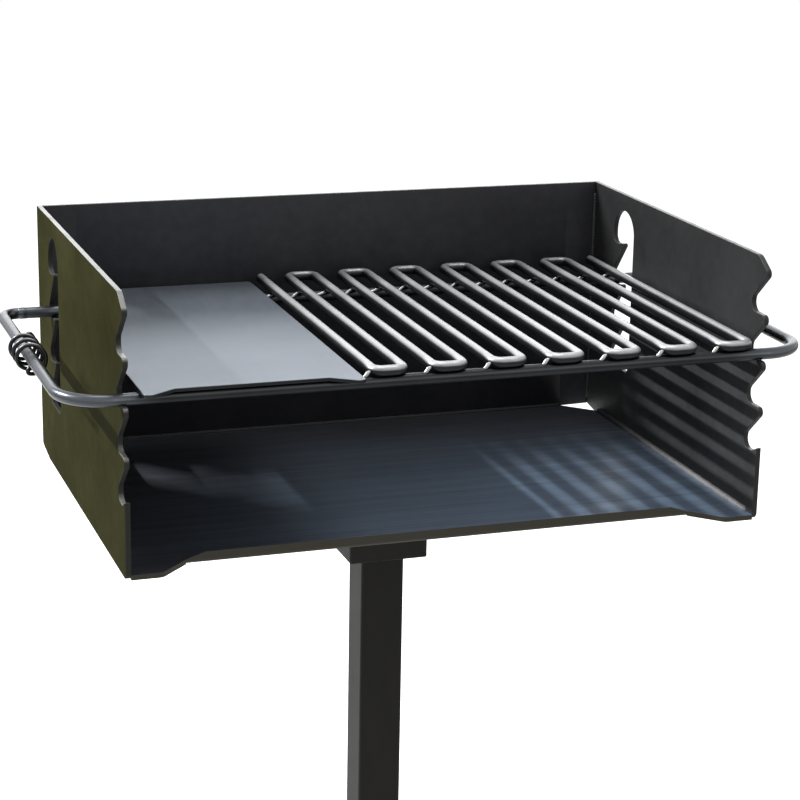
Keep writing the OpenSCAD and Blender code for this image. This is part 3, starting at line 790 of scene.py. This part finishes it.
def wound_grip(name, node):
    """A coil about the middle line of a handle, with both ends bent in to the rod."""
    length = GRIP_TURNS * GRIP_PITCH
    steps = round(GRIP_TURNS * STEPS_IN_TURN)
    lead = math.asin(GRIP_BEND / COIL_RADIUS)
    winding = math.tau * GRIP_TURNS - 2 * lead
    bm = bmesh.new()
    first = wire_ring(bm)
    ring = draw_straight(bm, first, (STRAIGHT, 0, 0))
    ring = draw_round(bm, ring, (COIL_RADIUS - GRIP_BEND, 0, GRIP_BEND), math.pi / 2, STEPS_IN_BEND)
    ring = draw_round(bm, ring, (0, 0, 0), winding, steps, (0, length / steps, 0))
    far = Vector((math.cos(winding + 2 * lead), 0, math.sin(winding + 2 * lead)))
    side = Vector((-far.z, 0, far.x))
    bend = far * (COIL_RADIUS - GRIP_BEND) - side * GRIP_BEND + Vector((0, length, 0))
    ring = draw_round(bm, ring, bend, math.pi / 2, STEPS_IN_BEND)
    ring = draw_straight(bm, ring, far * -STRAIGHT)
    for end in (first, ring):
        bmesh.ops.contextual_create(bm, geom=end)
    bmesh.ops.recalc_face_normals(bm, faces=bm.faces)
    bmesh.ops.translate(bm, verts=bm.verts, vec=(0, -length / 2, 0))
    bmesh.ops.rotate(bm, verts=bm.verts, cent=(0, 0, 0), matrix=Matrix.Rotation(-GRIP_START, 3, "Y"))
    bmesh.ops.translate(bm, verts=bm.verts, vec=handle_middle(node))
    for face in bm.faces:
        face.smooth = len(face.verts) == 4
    return make_piece(name, bm, [wire_steel], node)


for side in ("left", "right"):
    grip = wound_grip(side + "_grip_wire", side + "_spring_grip")
    corners = [grip.matrix_world @ Vector(corner) for corner in grip.bound_box]
    low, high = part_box(side + "_spring_grip")
    print(side, "packed", [round(v, 4) for v in (*low, *high)])
    print(side, "wound", [round(v, 4) for v in (*corners[0], *corners[6])])

# %% [markdown]
# The plates are joined by hand-laid fillet welds. Such a bead is a row of small overlapping ripples,
# one for each pulse of the torch, and it starts and stops in a rounded end. A thin cylinder is cut
# into many short rings, and each ring is scaled by its place in the ripple and pushed forward on its
# open side, which bends the ripples into crescents. A slow wave keeps the bead from looking machined.
# The larger part of each bead is buried in its corner.

# %% Rippled weld beads
BEAD = 0.0034
THIN_BEAD = 0.0024
BEAD_SIDES = 12
RIPPLE = 0.0034
RINGS_IN_RIPPLE = 5
VALLEY = 0.84
WANDER = 0.03
WANDER_TURN = 310
CRESCENT = 0.45
PROUD = 0.35
BLUNT = 0.05
SOCKET_BEAD_HALF = 0.036


def long_cylinder(bm, sides, radius, length, cuts):
    """A capped cylinder along Z, cut into rings."""
    bmesh.ops.create_cone(bm, cap_ends=True, segments=sides, radius1=radius, radius2=radius, depth=length)
    upright = [edge for edge in bm.edges if abs(edge.verts[0].co.z - edge.verts[1].co.z) > length / 2]
    bmesh.ops.subdivide_edges(bm, edges=upright, cuts=cuts)


def rippled_bead(start, end, open_side, radius):
    """The mesh of one bead from start to end. open_side points out of the corner that it fills."""
    along = Vector(end) - Vector(start)
    length = along.length
    along.normalize()
    open_side = Vector(open_side).normalized()
    bm = bmesh.new()
    long_cylinder(bm, BEAD_SIDES, radius, length, round(length / RIPPLE * RINGS_IN_RIPPLE))
    turn = Matrix((open_side, along.cross(open_side), along)).transposed()
    middle = (Vector(start) + Vector(end)) / 2 + open_side * radius * PROUD
    for vert in bm.verts:
        height = vert.co.z
        phase = (height / RIPPLE) % 1
        swell = VALLEY + (1 - VALLEY) * math.sin(math.pi * phase) + WANDER * math.sin(height * WANDER_TURN)
        ends = min(1, math.sqrt(max(BLUNT, (length / 2 - abs(height)) / radius)))
        forward = CRESCENT * RIPPLE * (vert.co.x / radius) * ends
        local = Vector((vert.co.x * swell * ends, vert.co.y * swell * ends, height + forward))
        vert.co = turn @ local + middle
    mesh = bpy.data.meshes.new("bead")
    bm.to_mesh(mesh)
    bm.free()
    return mesh


def weld_piece(name, node, meshes, material):
    """One piece of several bead meshes, which are used up."""
    bm = bmesh.new()
    for mesh in meshes:
        bm.from_mesh(mesh)
        bpy.data.meshes.remove(mesh)
    bmesh.ops.recalc_face_normals(bm, faces=bm.faces)
    for face in bm.faces:
        face.smooth = len(face.verts) == 4
    make_piece(name, bm, [material], node)


low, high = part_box("floor_welds")
floor_beads = [rippled_bead((side * high.x, low.y, low.z), (side * high.x, high.y - DRAIN_REACH, low.z),
                            (-side, 0, 1), BEAD) for side in (-1, 1)]
floor_beads.append(rippled_bead((DRAIN_REACH - high.x, high.y, low.z),
                                (high.x - DRAIN_REACH, high.y, low.z), (0, -1, 1), THIN_BEAD))
# The floor seams take the bead with the painted highlight at the right.
weld_piece("floor_seams", "floor_welds", floor_beads, scraped_weld)
low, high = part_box("corner_welds")
corner_beads = [rippled_bead((side * high.x, high.y, low.z), (side * high.x, high.y, high.z),
                             (-side, -1, 0), THIN_BEAD) for side in (-1, 1)]
weld_piece("corner_seams", "corner_welds", corner_beads, painted_weld)
socket_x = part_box("socket_sleeve")[1].x
socket_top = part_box("socket_welds")[1].z
socket_beads = []
for quarter in range(4):
    turn = Matrix.Rotation(quarter * math.pi / 2, 3, "Z")
    start, end = (turn @ Vector((socket_x, y, socket_top)) for y in (-SOCKET_BEAD_HALF, SOCKET_BEAD_HALF))
    socket_beads.append(rippled_bead(start, end, turn @ Vector((1, 0, -1)), BEAD))
weld_piece("socket_seams", "socket_welds", socket_beads, painted_weld)

# %% [markdown]
# The hoop is closed by two butt welds, where the rear rod meets the two bent ends. A bead there would
# catch on the slot, so it is ground down until only a faint crown is left. Each is a short cylinder
# round the joint, cut into rings whose radius follows the crown.

# %% Ground butt welds
CROWN_WIDTH = 0.0042
CROWN_HEIGHT = 0.00022
CROWN_FALL = 1.6
CROWN_SIDES = 40
CROWN_CUTS = 7


def ground_ring(centre, radius):
    """The mesh of a low crown round a rod that runs along X."""
    bm = bmesh.new()
    long_cylinder(bm, CROWN_SIDES, 1, 2, CROWN_CUTS)
    for vert in bm.verts:
        step = vert.co.z
        reach = radius + CROWN_HEIGHT * (1 - CROWN_FALL * step * step)
        vert.co = Vector((step * CROWN_WIDTH, vert.co.x * reach, vert.co.y * reach)) + centre
    mesh = bpy.data.meshes.new("ring")
    bm.to_mesh(mesh)
    bm.free()
    return mesh


low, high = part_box("rear_rod")
middle = (low + high) / 2
rings = [ground_ring(Vector((x, middle.y, middle.z)), (high.z - low.z) / 2) for x in (low.x, high.x)]
weld_piece("hoop_joints", "hoop_welds", rings, rod_steel)

# %% [markdown]
# Each run of the cooking bar is tacked to the rear rod, and each front turn to the front rod, by one
# short bead. A tack cools quickly, stays bright and leans from the rod up to the bar. A small sphere
# is stretched into a drop and laid at the place of each packed bead, which is found as the middle of
# one island of joined faces. The photograph shows the rear tacks at the left flank of their runs, so
# they are moved there, and from run to run they lean a little more or less.

# %% Tacks between bars and rods
FRONT_TACK = (0.0048, 0.0019)
REAR_TACK = (0.0060, 0.0015)
FRONT_LEAN = math.radians(45)
REAR_LEANS = (math.radians(14), math.radians(32))
REAR_SHIFT = Vector((-0.01465, -0.0063, -0.0041))
TACK_SAG = 0.0003
TACK_SAG_TURN = 5


def island_middles(bm):
    """Middle of the box round each island of joined faces."""
    left = set(bm.verts)
    middles = []
    while left:
        island, front = set(), [left.pop()]
        while front:
            vert = front.pop()
            island.add(vert)
            for edge in vert.link_edges:
                other = edge.other_vert(vert)
                if other in left:
                    left.remove(other)
                    front.append(other)
        low = Vector(min(vert.co[i] for vert in island) for i in range(3))
        high = Vector(max(vert.co[i] for vert in island) for i in range(3))
        middles.append((low + high) / 2)
    return middles


def add_drop(bm, place, length, width, lean):
    """A drop of weld metal that leans up from X by an angle."""
    drop = bmesh.ops.create_uvsphere(bm, u_segments=14, v_segments=10, radius=1)["verts"]
    bmesh.ops.scale(bm, verts=drop, vec=(length, width, width))
    for vert in drop:
        vert.co.z += TACK_SAG * math.sin(vert.co.x / length * TACK_SAG_TURN)
    bmesh.ops.rotate(bm, verts=drop, cent=(0, 0, 0), matrix=Matrix.Rotation(-lean, 3, "Y"))
    bmesh.ops.translate(bm, verts=drop, vec=place)


def tacks(name, node):
    """One drop of weld metal for each packed bead, those on the front rod first."""
    packed = joined_copy(node)
    places = sorted(island_middles(packed), key=lambda place: (place.y > 0, place.x))
    packed.free()
    front_places = [place for place in places if place.y <= 0]
    rear_places = places[len(front_places):]
    bm = bmesh.new()
    for place in front_places:
        add_drop(bm, place, *FRONT_TACK, FRONT_LEAN)
    for number, place in enumerate(rear_places):
        add_drop(bm, place + REAR_SHIFT, *REAR_TACK, REAR_LEANS[number % 2])
    for face in bm.faces:
        face.smooth = True
    print(node, "tacks:", len(front_places), "in front and", len(rear_places), "behind")
    make_piece(name, bm, [weld_steel], node)


tacks("bar_tacks", "bar_welds")
